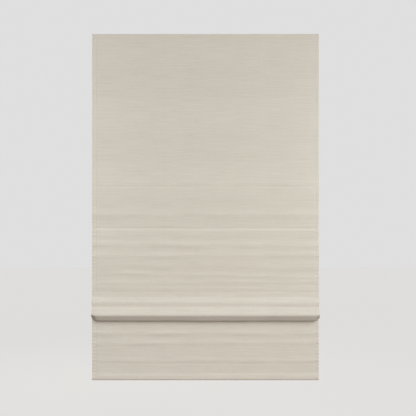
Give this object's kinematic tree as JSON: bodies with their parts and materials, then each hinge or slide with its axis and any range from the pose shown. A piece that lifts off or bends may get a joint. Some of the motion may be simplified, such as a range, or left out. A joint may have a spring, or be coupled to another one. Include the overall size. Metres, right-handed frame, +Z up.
{
  "type": "roman blind",
  "caption": "Cordless flat roman blind of plain linen-look cloth on a hidden headrail, with back ribs, a weighted hem and its lowest fold gathered into a soft roll.",
  "frame": {"origin": "centre of the screw holes in the tops of the two brackets, on the face that meets the head of the opening", "axes": "+X to the right as seen from the room, +Y towards the window, +Z up"},
  "size_m": [0.914, 0.0847, 1.395],
  "materials": {
    "cloth": "matt linen weave",
    "tape": "matt",
    "rail": "satin white",
    "steel": "satin white",
    "shaft": "satin",
    "spring": "bright",
    "cap": "satin",
    "nylon": "satin",
    "cradle": "satin",
    "rod": "satin",
    "clip": "gloss",
    "bar": "mill"
  },
  "bodies": {
    "headrail": {"headrail": "rail", "left_end_cap": "cap", "right_end_cap": "cap", "left_bracket": "steel", "right_bracket": "steel", "hook_tape": "tape", "loop_tape": "tape", "shade_cloth": "cloth", "spool_cradle_1": "cradle", "spool_cradle_2": "cradle", "spool_cradle_3": "cradle", "motor_housing": "cradle", "motor_cover": "cradle", "spring_strip": "spring"},
    "rib_5": {"rib_5": "rod", "rib_clips_5": "clip"},
    "rib_4": {"rib_4": "rod", "rib_clips_4": "clip"},
    "rib_3": {"rib_3": "rod", "rib_clips_3": "clip"},
    "rib_2": {"rib_2": "rod", "rib_clips_2": "clip"},
    "hem": {"rib_1": "rod", "rib_clips_1": "clip", "bottom_bar": "bar", "left_bar_cap": "cap", "right_bar_cap": "cap"},
    "lift_drive": {"lift_shaft": "shaft", "cord_spool_1": "nylon", "cord_spool_2": "nylon", "cord_spool_3": "nylon", "output_drum": "nylon"},
    "storage": {"storage_drum": "nylon"}
  },
  "joints": [
    {"name": "rib_5_lift", "type": "slide", "parent": "headrail", "child": "rib_5", "axis": [0, 0, 1], "range_m": [0, 0.22], "deforming": ["shade_cloth"]},
    {"name": "rib_4_lift", "type": "slide", "parent": "rib_5", "child": "rib_4", "axis": [0, 0, 1], "range_m": [0, 0.247], "deforming": ["shade_cloth"]},
    {"name": "rib_3_lift", "type": "slide", "parent": "rib_4", "child": "rib_3", "axis": [0, 0, 1], "range_m": [0, 0.247], "deforming": ["shade_cloth"]},
    {"name": "rib_2_lift", "type": "slide", "parent": "rib_3", "child": "rib_2", "axis": [0, 0, 1], "range_m": [0, 0.247], "deforming": ["shade_cloth"]},
    {"name": "hem_lift", "type": "slide", "parent": "rib_2", "child": "hem", "axis": [0, 0, 1], "range_m": [-0.247, 0], "deforming": ["shade_cloth"]},
    {"name": "shaft_turn", "type": "hinge", "parent": "headrail", "child": "lift_drive", "pos_m": [0, -0.005, -0.0146], "axis": [1, 0, 0], "range_deg": [0, 2575]},
    {"name": "storage_turn", "type": "hinge", "parent": "headrail", "child": "storage", "pos_m": [-0.165, 0.01, -0.0146], "axis": [1, 0, 0], "range_deg": [-2022, 0]}
  ],
  "couplings": [
    {"joint": "shaft_turn", "follows": "hem_lift", "rad_per_m": -181.82},
    {"joint": "storage_turn", "follows": "hem_lift", "rad_per_m": 142.75}
  ]
}
